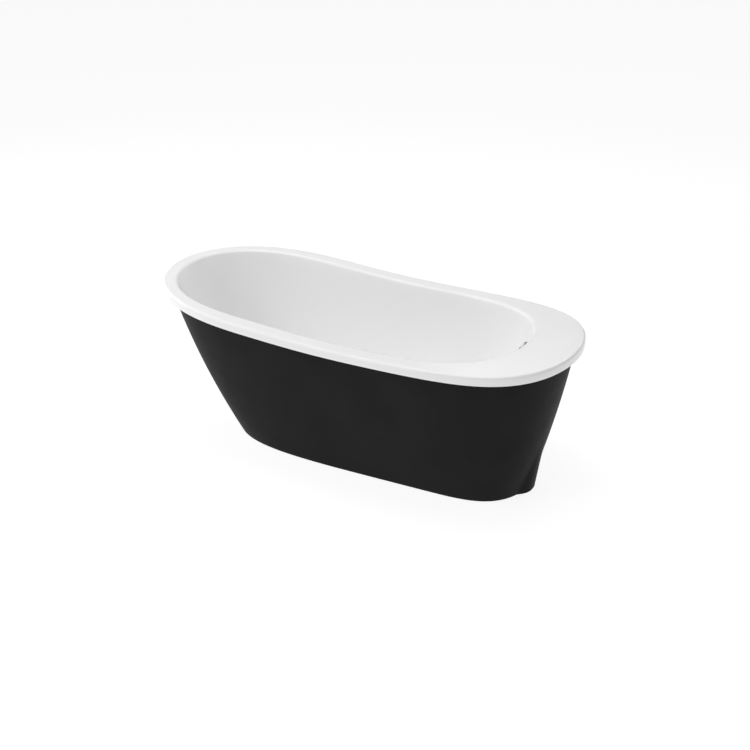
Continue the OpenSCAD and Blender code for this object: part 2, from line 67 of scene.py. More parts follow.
BASIN_T = 0.007
WELL_WIDEST_X = -0.295
WELL_POWER = (2.9, 6.6)
FLOOR_BACK_X = -0.420
FLOOR_DRAIN_X = 0.530
FLOOR_WIDEST_X = 0.100
FLOOR_HALF_W = 0.150
FLOOR_POWER = (3.0, 3.4)
FLOOR_Z = 0.120
FLOOR_FALL = 0.008
WALL_LEAN = (0.25, 0.45)
WALL_FOOT = (0.5, 1.0)

SKIRT_T = 0.005
SKIRT_INSET = 0.0323
SKIRT_GAP = 0.002
BASE_BACK_INSET = 0.286
BASE_DRAIN_INSET = 0.161
BASE_HALF_W = 0.203
BASE_WIDEST_X = 0.278
BASE_POWER = (4.5, 4.8)
BOW = (0.54, 0.33)
BULGE_X = 0.701
BULGE_LEAN = 0.15
BULGE_HALF_W = 0.070
BULGE_DROP = 0.038
BULGE_POWER = 2.7
BULGE_EASE = 0.004
HEM_W = 0.014
SEAL_T = 0.0022

DRAIN_X = 0.430
DRAIN_HOLE_R = 0.0245
RECESS_R = 0.040
RECESS_DEPTH = 0.004
SEAT_Z = FLOOR_Z - FLOOR_FALL - RECESS_DEPTH

OVERFLOW_DROP = 0.025
SLOT_L = 0.072
SLOT_H = 0.011
PLATE_L = SLOT_L + 0.026
PLATE_H = SLOT_H + 0.025
PLATE_X = -0.012
PLATE_T = 0.0065
SCREW_Y = SLOT_L / 2 + 0.007

AROUND = 480
BUNCHING = 0.45

# ---------- outlines ----------


def egg(t, back, drain, mid, half_w, power):
    """Plan outline with its own half-length and squareness at each end."""
    c = np.cos(t)
    reach = np.where(c < 0, mid - back, drain - mid)
    p = np.where(c < 0, power[0], power[1])
    side = np.sqrt(np.maximum(0, 1 - np.abs(c) ** p))
    return np.stack([mid + reach * c, half_w * np.sign(np.sin(t)) * side], -1)


def turns(count=AROUND):
    """Angles round the tub, closer together at the drain end."""
    t = np.arange(count) / count * 2 * np.pi
    return t - BUNCHING * np.sin(t)


def plan_normals(line):
    step = np.roll(line, -1, 0) - np.roll(line, 1, 0)
    n = np.stack([step[:, 1], -step[:, 0]], -1)
    return n / np.linalg.norm(n, axis=1)[:, None]


def soft_ramp(v):
    return np.log1p(np.exp(v))


def rim_z(x):
    """Rim height: level deck at the drain end, rising to the backrest."""
    high = soft_ramp((RISE_X + HALF_L - RIM_ROUND) / RISE_EASE)
    return DECK_Z + (HIGH_Z - DECK_Z) * soft_ramp((RISE_X - x) / RISE_EASE) / high


T = turns()
RIM = egg(T, -HALF_L, HALF_L, RIM_WIDEST_X, HALF_W, RIM_POWER)
RIM_N = plan_normals(RIM)
WELL = egg(T, RIM_BACK_W - HALF_L, HALF_L - DECK_W, WELL_WIDEST_X,
           HALF_W - RIM_SIDE_W, WELL_POWER)
WELL_N = plan_normals(WELL)
FLOOR = egg(T, FLOOR_BACK_X, FLOOR_DRAIN_X, FLOOR_WIDEST_X, FLOOR_HALF_W, FLOOR_POWER)
BASE = egg(T, BASE_BACK_INSET - HALF_L, HALF_L - BASE_DRAIN_INSET, BASE_WIDEST_X,
           BASE_HALF_W, BASE_POWER)


def lift(xy, z):
    return np.concatenate([xy, np.broadcast_to(z, len(xy))[:, None]], 1)


def rim_ring(inset, drop):
    p = RIM - RIM_N * inset
    return lift(p, rim_z(p[:, 0]) - drop)


# ---------- basin ----------


def drain_ring(r, z):
    return np.stack([DRAIN_X + r * np.cos(T), r * np.sin(T), np.full(len(T), z)], -1)


def ease(f):
    return f * f * (3 - 2 * f)


def floor_ring(f):
    rim = np.stack([DRAIN_X + RECESS_R * np.cos(T), RECESS_R * np.sin(T)], -1)
    return lift(FLOOR * (1 - f) + rim * f, FLOOR_Z - FLOOR_FALL * ease(f))


def wall_tilt():
    run = np.linalg.norm(WELL - FLOOR, axis=1) * WALL_LEAN[0]
    fall = (rim_z(WELL[:, 0]) - FLOOR_Z) * WALL_LEAN[1]
    return np.arctan(run / fall)


TILT = wall_tilt()


def well_ring(share):
    """Rounded inner edge: share 0 is level with the deck, 1 is where the wall begins."""
    a = (np.pi / 2 - TILT) * share
    p = WELL - WELL_N * (WELL_ROUND * np.sin(a))[:, None]
    return lift(p, rim_z(p[:, 0]) - WELL_ROUND * (1 - np.cos(a)))


def bezier(t):
    k = (3 * (1 - t) ** 2 * t, 3 * (1 - t) * t * t, t ** 3)
    return [k[0] * WALL_LEAN[i] + k[1] * WALL_FOOT[i] + k[2] for i in (0, 1)]


def wall_ring(t):
    top = well_ring(1)
    across, down = bezier(t)
    p = top[:, :2] + (FLOOR - top[:, :2]) * across
    return lift(p, top[:, 2] + (FLOOR_Z - top[:, 2]) * down)


def deck_ring(f):
    p = well_ring(0)[:, :2] * (1 - f) + (RIM - RIM_N * RIM_ROUND) * f
    return lift(p, rim_z(p[:, 0]))


def basin_face():
    """Rings of the basin's upper face, from the drain hole out to the foot of the lip."""
    recess_in = RECESS_R - 0.0025
    rings = [drain_ring(r, SEAT_Z) for r in (DRAIN_HOLE_R, 0.028, 0.033, recess_in - 0.001)]
    rings += [drain_ring(recess_in, SEAT_Z + 0.0006)]
    rings += [floor_ring(f) for f in np.linspace(1, 0, 30)]
    rings += [wall_ring(t) for t in np.linspace(1, 0, 56)[1:-1]]
    rings += [well_ring(s) for s in np.linspace(1, 0, 16)]
    rings += [deck_ring(f) for f in np.linspace(0, 1, 12)[1:-1]]
    for a in np.linspace(0, np.pi / 2, 16):
        rings.append(rim_ring(RIM_ROUND * (1 - math.sin(a)), RIM_ROUND * (1 - math.cos(a))))
    rings += [rim_ring(0, d) for d in np.linspace(RIM_ROUND, LIP_H - LIP_EDGE, 6)[1:]]
    return np.stack(rings, 1)


def inward(grid, t):
    """The grid moved into the solid along its surface normals."""
    along = np.empty_like(grid)
    along[:, 1:-1] = grid[:, 2:] - grid[:, :-2]
    along[:, 0] = grid[:, 1] - grid[:, 0]
    along[:, -1] = grid[:, -1] - grid[:, -2]
    across = np.roll(grid, -1, 0) - np.roll(grid, 1, 0)
    n = np.cross(along, across)
    n /= np.linalg.norm(n, axis=2)[..., None]
    return grid - n * t


# ---------- mesh helpers ----------


def new_mesh(name, points, faces, smooth=True):
    mesh = bpy.data.meshes.new(name)
    mesh.from_pydata(np.asarray(points, float).tolist(), [], faces)
    mesh.validate()
    mesh.update()
    obj = bpy.data.objects.new(name, mesh)
    bpy.context.collection.objects.link(obj)
    if smooth:
        mesh.shade_smooth()
    return obj


def ring_solid(name, loops):
    """Closed solid from a grid that wraps both ways: loops[i] is the closed section at step i."""
    n, m = loops.shape[:2]
    i, j = np.meshgrid(np.arange(n), np.arange(m), indexing="ij")
    a = i * m + j
    b = (i + 1) % n * m + j
    c = (i + 1) % n * m + (j + 1) % m
    d = i * m + (j + 1) % m
    faces = np.stack([a, d, c, b], -1).reshape(-1, 4).tolist()
    return new_mesh(name, loops.reshape(-1, 3), faces)


def make_basin():
    face = basin_face()
    back = inward(face, BASIN_T)
    keep = [0, 4] + list(range(6, face.shape[1] - 1, 2)) + [face.shape[1] - 1]
    foot = []
    for a in np.linspace(0, np.pi / 2, 7)[1:]:
        foot.append(rim_ring(LIP_EDGE * (1 - math.cos(a)),
                             LIP_H - LIP_EDGE + LIP_EDGE * math.sin(a)))
    foot.append(rim_ring(BASIN_T - 0.0008, LIP_H))
    foot.append(rim_ring(BASIN_T, LIP_H - 0.0008))
    loops = np.concatenate([face, np.stack(foot, 1), back[:, keep][:, ::-1]], 1)
    return ring_solid("basin_shell", loops)


# ---------- skirt ----------


def soft_max(a, b):
    return (a + b + np.sqrt((a - b) ** 2 + BULGE_EASE ** 2)) / 2


def bulge_front(y, z):
    return BULGE_X + BULGE_LEAN * z - BULGE_DROP * (np.abs(y) / BULGE_HALF_W) ** BULGE_POWER


def skirt_ring(u):
    """Outer face of the skirt, u from 0 at the lip's foot to 1 at the floor."""
    c = np.cos(T)
    bow = np.where(c < 0, BOW[0], BOW[1]) * c * c
    w = (u - bow * u * (1 - u))[:, None]
    top = rim_ring(SKIRT_INSET, LIP_H)
    p = top[:, :2] + (BASE - top[:, :2]) * w
    z = SKIRT_GAP + (top[:, 2] - SKIRT_GAP) * (1 - u)
    x = np.where(c > 0, soft_max(p[:, 0], bulge_front(p[:, 1], z)), p[:, 0])
    return np.stack([x, p[:, 1], z], -1)


def level_in(ring, t):
    t = np.broadcast_to(t, len(ring))[:, None]
    return ring - np.concatenate([plan_normals(ring[:, :2]) * t, np.zeros((len(ring), 1))], 1)


def raised(ring, dz):
    return ring + np.array([0, 0, dz])


def make_skirt():
    steps = np.linspace(0, 1, 90)
    tuck = BASIN_T + SEAL_T + 0.0014
    outer = [rim_ring(SKIRT_INSET, d) for d in np.linspace(tuck, LIP_H, 6)[:-1]]
    outer += [skirt_ring(u) for u in steps]
    foot = outer[-1]
    edge = 0.0012
    outer[-1] = raised(foot, edge)
    hem = SKIRT_T + 0.0006 + (HEM_W - SKIRT_T) * (1 - np.maximum(0, np.cos(T)) ** 8)
    under = [level_in(foot, edge * 0.3), level_in(foot, edge)]
    under[0] = raised(under[0], edge * 0.3)
    under += [level_in(foot, hem - edge), raised(level_in(foot, hem), edge)]
    under += [raised(level_in(foot, hem), SKIRT_T - edge), raised(level_in(foot, hem - edge), SKIRT_T)]
    inner = [raised(level_in(foot, SKIRT_T), SKIRT_T)]
    inner += [level_in(r, SKIRT_T) for r in outer[-3::-3]] + [level_in(outer[0], SKIRT_T)]
    return ring_solid("skirt_shell", np.stack(outer + under + inner, 1))


def make_sealant():
    high = BASIN_T + 0.0005
    low = high + SEAL_T
    far = SKIRT_INSET + SKIRT_T + 0.001
    near = SKIRT_INSET - 0.001
    bulge = SEAL_T * 0.3
    rings = [rim_ring(near, high), rim_ring(near - bulge, (high + low) / 2), rim_ring(near, low),
             rim_ring(far, low), rim_ring(far + bulge, (high + low) / 2), rim_ring(far, high)]
    return ring_solid("rim_bond", np.stack(rings, 1))


# ---------- shared shapes ----------


def fillet(points, radius, steps=3):
    """A closed polygon with each corner rounded, so that edges catch the light."""
    out = []
    n = len(points)
    for i in range(n):
        p = np.array(points[i], float)
        a = np.array(points[i - 1], float) - p
        b = np.array(points[(i + 1) % n], float) - p
        la, lb = np.linalg.norm(a), np.linalg.norm(b)
        cut = min(radius, 0.45 * la, 0.45 * lb)
        if p[0] < 1e-7 or cut < 1e-6:
            out.append(p)
            continue
        start, end = p + a / la * cut, p + b / lb * cut
        for t in np.linspace(0, 1, steps + 1):
            out.append((1 - t) ** 2 * start + 2 * t * (1 - t) * p + t * t * end)
    return np.array(out)


def weld(obj, sharp=35):
    """Merge doubled points, point the faces outwards and keep only real corners sharp."""
    bm = bmesh.new()
    bm.from_mesh(obj.data)
    bmesh.ops.remove_doubles(bm, verts=bm.verts, dist=1e-7)
    bmesh.ops.dissolve_degenerate(bm, edges=bm.edges, dist=1e-7)
    bmesh.ops.recalc_face_normals(bm, faces=bm.faces)
    bm.to_mesh(obj.data)
    bm.free()
    obj.data.shade_smooth()
    obj.data.set_sharp_from_angle(angle=math.radians(sharp))
    return obj


def turned(name, profile, place, rounding=0.0004, steps=96, along="Z", sharp=35):
    """Lathe-turned solid: a closed (radius, height) profile swept about an axis through place."""
    loop = fillet(profile, rounding)
    a = np.arange(steps) / steps * 2 * np.pi
    r, h = loop[:, 0][None], loop[:, 1][None]
    c, s = np.cos(a)[:, None], np.sin(a)[:, None]
    local = {"Z": (r * c, r * s, h + 0 * c), "X": (h + 0 * c, r * c, r * s),
             "-X": (-h + 0 * c, r * s, r * c), "-Z": (r * s, r * c, -h + 0 * c)}[along]
    loops = np.stack(local, -1) + np.array(place, float)
    return weld(ring_solid(name, loops), sharp)


def gathered(name, parts):
    """Several meshes as one piece."""
    bm = bmesh.new()
    for part in parts:
        bm.from_mesh(part.data)
        bpy.data.objects.remove(part)
    mesh = bpy.data.meshes.new(name)
    bm.to_mesh(mesh)
    bm.free()
    obj = bpy.data.objects.new(name, mesh)
    bpy.context.collection.objects.link(obj)
    return obj


def hexagon_radius(a, corner):
    flat = corner * math.cos(math.pi / 6)
    return flat / np.cos(np.mod(a + math.pi / 6, math.pi / 3) - math.pi / 6)


def hex_body(name, place, corner, bore, z0, z1):
    """Hexagon with turned chamfers and, if bore is above 0, a countersunk hole."""
    flat = corner * math.cos(math.pi / 6)
    a = np.arange(96) / 96 * 2 * np.pi
    lift_rows = np.array([0, 0.0002, 0.0005, 0.0010, 0.0016])
    heights = np.concatenate([z0 + lift_rows, z1 - lift_rows[::-1]])
    away = np.minimum(heights - z0, z1 - heights)
    full = hexagon_radius(a, corner)[:, None]
    r = np.minimum(full, flat * 0.97 + away[None] * 1.7)
    sink = 0.0007
    inner_r = [bore + sink, bore, bore, bore + sink] if bore else [0, 0]
    inner_z = [z1, z1 - sink, z0 + sink, z0] if bore else [z1, z0]
    r = np.concatenate([r, np.broadcast_to(inner_r, (len(a), len(inner_r)))], 1)
    z = np.concatenate([heights, inner_z])
    c, s = np.cos(a)[:, None], np.sin(a)[:, None]
    loops = np.stack([r * c, r * s, z + 0 * r], -1) + np.array(place, float)
    return weld(ring_solid(name, loops), 25)


def soften(node, width=0.0006, sharp=30):
    """The CAD shape rebuilt as clean faces with small machined or moulded edge radii."""
    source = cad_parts[node].data
    bm = bmesh.new()
    ids = [bm.verts.new(v.co) for v in source.vertices]
    for p in source.polygons:
        corners = [ids[i] for i in p.vertices]
        if bm.faces.get(corners) is None:
            bm.faces.new(corners)
    bmesh.ops.remove_doubles(bm, verts=bm.verts, dist=1e-6)
    bmesh.ops.dissolve_degenerate(bm, edges=bm.edges, dist=1e-6)
    bmesh.ops.dissolve_limit(bm, angle_limit=math.radians(0.3), verts=bm.verts, edges=bm.edges)
    bmesh.ops.recalc_face_normals(bm, faces=bm.faces)
    mesh = bpy.data.meshes.new(node + "_soft")
    bm.to_mesh(mesh)
    bm.free()
    obj = bpy.data.objects.new(node + "_soft", mesh)
    bpy.context.collection.objects.link(obj)
    mesh.shade_smooth()
    bevel = obj.modifiers.new("edges", "BEVEL")
    bevel.width = width
    bevel.segments = 2
    bevel.limit_method = "ANGLE"
    bevel.angle_limit = math.radians(sharp)
    bevel.harden_normals = True
    return obj


def centre(node):
    low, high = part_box(node)
    return (low + high) / 2


# ---------- materials ----------

ACRYLIC = 0.92
SKIRT_DARK = 0.017
SKIRT_SHEEN = 0.025


class Graph:
    """Short names for building a node material."""

    def __init__(self, name):
        self.mat = bpy.data.materials.new(name)
        self.mat.use_nodes = True
        self.tree = self.mat.node_tree
        self.shader = self.tree.nodes["Principled BSDF"]
        self.place = self.tree.nodes.new("ShaderNodeTexCoord").outputs["Object"]

    def link(self, a, b):
        self.tree.links.new(a, b)

    def set(self, name, value):
        self.shader.inputs[name].default_value = value

    def stretched(self, stretch):
        if stretch is None:
            return self.place
        node = self.tree.nodes.new("ShaderNodeMapping")
        node.inputs["Scale"].default_value = stretch
        self.link(self.place, node.inputs["Vector"])
        return node.outputs["Vector"]

    def noise(self, scale, detail=3.0, stretch=None):
        node = self.tree.nodes.new("ShaderNodeTexNoise")
        node.inputs["Scale"].default_value = scale
        node.inputs["Detail"].default_value = detail
        self.link(self.stretched(stretch), node.inputs["Vector"])
        return node.outputs["Fac"]

    def cells(self, scale, output="Distance", stretch=None):
        node = self.tree.nodes.new("ShaderNodeTexVoronoi")
        node.inputs["Scale"].default_value = scale
        self.link(self.stretched(stretch), node.inputs["Vector"])
        return node.outputs[output]

    def ramp(self, source, stops):
        node = self.tree.nodes.new("ShaderNodeValToRGB")
        ramp = node.color_ramp
        while len(ramp.elements) < len(stops):
            ramp.elements.new(0.5)
        for element, (at, colour) in zip(ramp.elements, stops):
            element.position = at
            element.color = (*colour, 1)
        self.link(source, node.inputs["Fac"])
        return node.outputs["Color"]

    def spread(self, source, low, high):
        node = self.tree.nodes.new("ShaderNodeMapRange")
        node.inputs["From Min"].default_value = 0.3
        node.inputs["From Max"].default_value = 0.7
        node.inputs["To Min"].default_value = low
        node.inputs["To Max"].default_value = high
        self.link(source, node.inputs["Value"])
        return node.outputs["Result"]

    def bump(self, source, height):
        node = self.tree.nodes.new("ShaderNodeBump")
        node.inputs["Distance"].default_value = height
        self.link(source, node.inputs["Height"])
        if self.shader.inputs["Normal"].links:
            self.link(self.shader.inputs["Normal"].links[0].from_socket, node.inputs["Normal"])
        self.link(node.outputs["Normal"], self.shader.inputs["Normal"])

    def colour(self, source):
        self.link(source, self.shader.inputs["Base Color"])

    def roughness(self, source):
        self.link(source, self.shader.inputs["Roughness"])


def tint(colour, share):
    return tuple(c * share for c in colour)


def acrylic_white():
    """Cast acrylic: an even gloss white with a faint orange-peel."""
    g = Graph("acrylic_white")
    white = (ACRYLIC, ACRYLIC, ACRYLIC)
    g.colour(g.ramp(g.noise(2.5, 2.0), [(0.35, tint(white, 0.985)), (0.65, white)]))
    g.roughness(g.spread(g.noise(14.0, 4.0), 0.17, 0.24))
    g.bump(g.noise(110.0, 2.0), 0.00005)
    g.set("IOR", 1.49)
    return g.mat


def skirt_black():
    """Satin black acrylic with a fine moulded grain."""
    g = Graph("skirt_black")
    black = (SKIRT_DARK, SKIRT_DARK, SKIRT_DARK)
    g.colour(g.ramp(g.noise(5.0, 3.0), [(0.35, tint(black, 0.85)), (0.65, black)]))
    g.roughness(g.spread(g.noise(18.0, 5.0), 0.46, 0.52))
    g.bump(g.noise(700.0, 2.0), 0.00002)
    g.set("Specular IOR Level", SKIRT_SHEEN)
    return g.mat


def chrome():
    """Bright plate: faint waviness and fine hazy wear."""
    g = Graph("chrome_plate")
    g.colour(g.ramp(g.noise(40.0), [(0.3, (0.60, 0.61, 0.62)), (0.7, (0.66, 0.67, 0.68))]))
    g.roughness(g.spread(g.noise(220.0, 6.0), 0.04, 0.11))
    g.bump(g.noise(90.0, 2.0), 0.00003)
    g.set("Metallic", 1.0)
    return g.mat


def cast_brass():
    """Sand-cast brass: grainy, dulled in patches."""
    g = Graph("cast_brass")
    g.colour(g.ramp(g.noise(60.0, 6.0), [(0.3, (0.36, 0.22, 0.075)), (0.5, (0.56, 0.37, 0.14)),
                                        (0.7, (0.68, 0.47, 0.19))]))
    g.roughness(g.spread(g.noise(300.0, 6.0), 0.30, 0.55))
    g.bump(g.noise(900.0, 4.0), 0.00025)
    g.set("Metallic", 1.0)
    return g.mat


def drawn_brass():
    """Drawn tube: fine scratches along the tube and slight tarnish."""
    g = Graph("drawn_brass")
    g.colour(g.ramp(g.noise(18.0, 5.0), [(0.3, (0.52, 0.35, 0.13)), (0.7, (0.74, 0.54, 0.24))]))
    g.roughness(g.spread(g.noise(500.0, 4.0, (1, 1, 0.05)), 0.16, 0.32))
    g.bump(g.noise(700.0, 4.0, (1, 1, 0.05)), 0.00004)
    g.set("Metallic", 1.0)
    return g.mat


def galvanised():
    """Hot-dip spangle: overlapping pale and grey crystals."""
    g = Graph("galvanised")
    g.colour(g.ramp(g.cells(90.0, "Color"), [(0.1, (0.36, 0.38, 0.40)), (0.5, (0.52, 0.54, 0.56)),
                                            (0.9, (0.64, 0.66, 0.68))]))
    g.roughness(g.spread(g.cells(90.0), 0.28, 0.50))
    g.bump(g.noise(300.0, 5.0), 0.00008)
    g.set("Metallic", 1.0)
    return g.mat


def zinc():
    """Bright zinc on turned steel, a little yellow and fine-lined."""
    g = Graph("zinc_plate")
    g.colour(g.ramp(g.noise(70.0, 4.0), [(0.3, (0.48, 0.48, 0.44)), (0.7, (0.66, 0.66, 0.60))]))
    g.roughness(g.spread(g.noise(400.0, 5.0, (0.2, 0.2, 1)), 0.20, 0.38))
    g.bump(g.noise(1500.0, 3.0, (0.1, 0.1, 1)), 0.00004)
    g.set("Metallic", 1.0)
    return g.mat


def particle_board():
    """Pressed chips under a thin seal coat."""
    g = Graph("particle_board")
    g.colour(g.ramp(g.cells(260.0, "Color", (1, 0.45, 1)),
                    [(0.15, (0.20, 0.12, 0.055)), (0.45, (0.38, 0.25, 0.12)),
                     (0.75, (0.52, 0.37, 0.20))]))
    g.roughness(g.spread(g.noise(120.0, 5.0), 0.55, 0.80))
    g.bump(g.cells(260.0, "Distance", (1, 0.45, 1)), 0.0003)
    return g.mat


def laminate():
    """Chopped glass strand in resin: crossed fibres, uneven and a little translucent."""
    g = Graph("glass_laminate")
    g.colour(g.ramp(g.noise(160.0, 6.0, (1, 0.12, 1)),
                    [(0.3, (0.40, 0.36, 0.21)), (0.7, (0.60, 0.56, 0.38))]))
    g.roughness(g.spread(g.noise(60.0, 5.0), 0.35, 0.60))
    g.bump(g.noise(220.0, 6.0, (0.12, 1, 1)), 0.0006)
    g.bump(g.noise(220.0, 6.0, (1, 0.12, 1)), 0.0006)
    return g.mat


def rubber():
    g = Graph("black_rubber")
    g.colour(g.ramp(g.noise(80.0, 4.0), [(0.3, (0.012, 0.012, 0.012)), (0.7, (0.024, 0.024, 0.024))]))
    g.roughness(g.spread(g.noise(300.0, 5.0), 0.60, 0.80))
    g.bump(g.noise(1200.0, 3.0), 0.00008)
    return g.mat


def washer_plastic():
    g = Graph("washer_plastic")
    g.colour(g.ramp(g.noise(90.0, 3.0), [(0.3, (0.66, 0.66, 0.63)), (0.7, (0.74, 0.74, 0.71))]))
    g.roughness(g.spread(g.noise(200.0, 4.0), 0.35, 0.50))
    g.bump(g.noise(800.0, 3.0), 0.00004)
    return g.mat


def bond():
    g = Graph("bond_bead")
    g.colour(g.ramp(g.noise(50.0, 4.0), [(0.3, (0.62, 0.62, 0.59)), (0.7, (0.72, 0.72, 0.69))]))
    g.roughness(g.spread(g.noise(120.0, 4.0), 0.35, 0.55))
    g.bump(g.noise(160.0, 3.0), 0.0003)
    return g.mat


def nylon():
    g = Graph("pad_nylon")
    g.colour(g.ramp(g.noise(120.0, 4.0), [(0.3, (0.020, 0.020, 0.022)), (0.7, (0.034, 0.034, 0.037))]))
    g.roughness(g.spread(g.noise(260.0, 4.0), 0.45, 0.62))
    g.bump(g.noise(1400.0, 3.0), 0.0001)
    return g.mat


def all_materials():
    return {"white_acrylic": acrylic_white(), "black_skirt": skirt_black(), "sealant": bond(),
            "laminate": laminate(), "board": particle_board(), "galvanised_steel": galvanised(),
            "zinc_plate": zinc(), "pad_nylon": nylon(), "chrome": chrome(),
            "washer_white": washer_plastic(), "black_rubber": rubber(),
            "waste_brass": cast_brass(), "tube_brass": drawn_brass()}


def show(obj, slot, body, *nodes):
    """Give a piece its finish, and let it stand for CAD nodes on a body."""
    obj.data.materials.clear()
    obj.data.materials.append(FINISH[slot])
    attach(obj, body)
    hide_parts(*nodes)


# ---------- drain and stopper ----------

FLANGE_Z = SEAT_Z + 0.0015
FLANGE_T = 0.003
FLANGE_R = RECESS_R - 0.004
BARREL_R = DRAIN_HOLE_R - 0.001
THROAT_R = BARREL_R - 0.003
HUB_Z = FLANGE_Z - 0.022
HUB_H = 0.005
POST_R = 0.004
CAP_R = 0.027
CAP_Z = FLANGE_Z + FLANGE_T + 0.0026
DRAIN = (DRAIN_X, 0, 0)


def make_flange():
    low = HUB_Z - 0.006
    top = FLANGE_Z + FLANGE_T
    ring = [(THROAT_R, low), (BARREL_R - 0.0006, low), (BARREL_R, low + 0.001),
            (BARREL_R, FLANGE_Z), (FLANGE_R, FLANGE_Z), (FLANGE_R, FLANGE_Z + 0.0012),
            (FLANGE_R - 0.006, top), (THROAT_R + 0.003, top - 0.0002), (THROAT_R, FLANGE_Z + 0.0010)]
    hub = [(POST_R + 0.0002, HUB_Z), (0.0075, HUB_Z), (0.0075, HUB_Z + HUB_H),
           (POST_R + 0.0002, HUB_Z + HUB_H)]
    parts = [turned("flange_ring", ring, DRAIN, 0.0006, 128), turned("flange_hub", hub, DRAIN, 0.0006)]
    for turn in (0, 1, 2, 3):
        parts.append(cross_arm(turn * math.pi / 2))
    return gathered("strainer", parts)


def cross_arm(turn):
    """Arm of the strainer's cross, rounded on top and bottom."""
    a = np.linspace(0, 2 * np.pi, 24, endpoint=False)
    half_w, half_h = 0.00175, HUB_H / 2
    section_y = half_w * np.sign(np.cos(a)) * np.abs(np.cos(a)) ** 0.5
    section_z = HUB_Z + half_h + half_h * np.sign(np.sin(a)) * np.abs(np.sin(a)) ** 0.5
    x0, x1 = 0.0070, THROAT_R + 0.0004
    points = [(x, y, z) for x in (x0, x1) for y, z in zip(section_y, section_z)]
    n = len(a)
    faces = [(i, (i + 1) % n, n + (i + 1) % n, n + i) for i in range(n)]
    faces += [tuple(range(n))[::-1], tuple(range(n, 2 * n))]
    c, s = math.cos(turn), math.sin(turn)
    points = [(DRAIN_X + x * c - y * s, x * s + y * c, z) for x, y, z in points]
    return weld(new_mesh("arm", points, faces))


def make_cap():
    """Push cap: domed face with a thin turned step at the edge, hollow underside."""
    dome_r, dome_z = 0.060, CAP_Z + 0.0085 - 0.060
    profile = [(0, CAP_Z + 0.0002), (0.012, CAP_Z + 0.0002), (0.0125, CAP_Z), (CAP_R, CAP_Z),
               (CAP_R, CAP_Z + 0.0024), (CAP_R - 0.0014, CAP_Z + 0.0026)]
    for r in np.linspace(CAP_R - 0.0016, 0, 16):
        profile.append((r, dome_z + math.sqrt(dome_r ** 2 - r * r)))
    return turned("stopper_face", profile, DRAIN, 0.0005, 160)


def make_seal():
    out, inner = THROAT_R + 0.004, POST_R + 0.003
    low, high = CAP_Z - 0.0023, CAP_Z - 0.0001
    profile = [(inner, low + 0.0006), (out - 0.004, low + 0.0006), (out, low), (out, low + 0.0008),
               (out - 0.002, high), (inner, high)]
    return turned("stopper_ring", profile, DRAIN, 0.0003, 128)


def make_post():
    low = HUB_Z - 0.010 - 0.0032
    neck = low + 0.003
    profile = [(0, low), (0.0065, low), (0.0065, neck), (POST_R, neck), (POST_R, CAP_Z - 0.0035),
               (0.0066, CAP_Z - 0.0035), (0.0066, CAP_Z - 0.0001), (0, CAP_Z - 0.0001)]
    return turned("stopper_stem", profile, DRAIN, 0.0004)


# ---------- overflow ----------

OVERFLOW_TILT = float(TILT[0])
OVERFLOW_AT = (HALF_L - DECK_W - WELL_ROUND * (1 - math.sin(OVERFLOW_TILT))
               - (OVERFLOW_DROP - WELL_ROUND) * math.tan(OVERFLOW_TILT), 0, DECK_Z - OVERFLOW_DROP)


def to_overflow(points):
    turn = np.array(Matrix.Rotation(OVERFLOW_TILT, 3, "Y"))
    return np.asarray(points) @ turn.T + np.array(OVERFLOW_AT)


def pill_loop(length, height, count=24):
    """Outline of a bar with round ends, in the overflow's own Y and Z."""
    r = height / 2
    a = np.linspace(-np.pi / 2, np.pi / 2, count)
    right = np.stack([length / 2 - r + r * np.cos(a), r * np.sin(a)], -1)
    return np.concatenate([right, -right])


def oval_loop(length, height, count=24):
    """Elliptical outline with as many points as a bar outline."""
    a = np.linspace(-np.pi / 2, np.pi / 2, 2 * count + 1)[1::2]
    right = np.stack([length / 2 * np.cos(a), height / 2 * np.sin(a)], -1)
    return np.concatenate([right, -right])


def make_bezel():
    """Trim plate: softly crowned ring round the slot, with its spigot through the wall."""
    back = PLATE_X + PLATE_T
    rows = [(pill_loop, SLOT_L, SLOT_H, BASIN_T + 0.001), (pill_loop, SLOT_L, SLOT_H, PLATE_X + 0.0014)]
    for a in np.linspace(0, np.pi / 2, 6)[1:]:
        grow = 0.0028 * math.sin(a)
        rows.append((pill_loop, SLOT_L + grow, SLOT_H + grow, PLATE_X + 0.0014 * (1 - math.sin(a))))
    for a in np.linspace(0, np.pi / 2, 8):
        shrink = 0.0060 * (1 - math.sin(a))
        rows.append((oval_loop, PLATE_L - shrink, PLATE_H - shrink, PLATE_X + 0.0026 * (1 - math.cos(a))))
    rows.append((oval_loop, PLATE_L, PLATE_H, back))
    rows.append((pill_loop, SLOT_L + 0.003, SLOT_H + 0.003, back))
    rows.append((pill_loop, SLOT_L + 0.003, SLOT_H + 0.003, BASIN_T + 0.001))
    loops = []
    for outline, length, height, x in rows:
        loop = outline(length, height)
        loops.append(to_overflow(np.concatenate([np.full((len(loop), 1), x), loop], 1)))
    return weld(ring_solid("overflow_trim", np.stack(loops, 1)), 30)


def make_overflow_screws():
    """Pan heads with a round, coned recess, and their shanks."""
    parts = []
    for side in (-1, 1):
        head = [(0, 0.0009), (0.0008, 0.0003), (0.0012, 0), (0.0022, 0.0001), (0.0032, 0.0006),
                (0.0036, 0.0013), (0.0036, 0.0017), (0.002, 0.0017), (0.002, 0.0262), (0, 0.0272)]
        screw = turned("screw", head, (0, 0, 0), 0.0001, 48, "X")
        points = np.array([v.co for v in screw.data.vertices])
        points = points + [PLATE_X - 0.0018, side * SCREW_Y, 0]
        for vertex, co in zip(screw.data.vertices, to_overflow(points)):
            vertex.co = co
        parts.append(screw)
    return gathered("trim_screws", parts)


# ---------- feet and base ----------

STUD_R = 0.006
PITCH = 0.00175
PAD_TOP = 0.014
NUT_R = 0.011


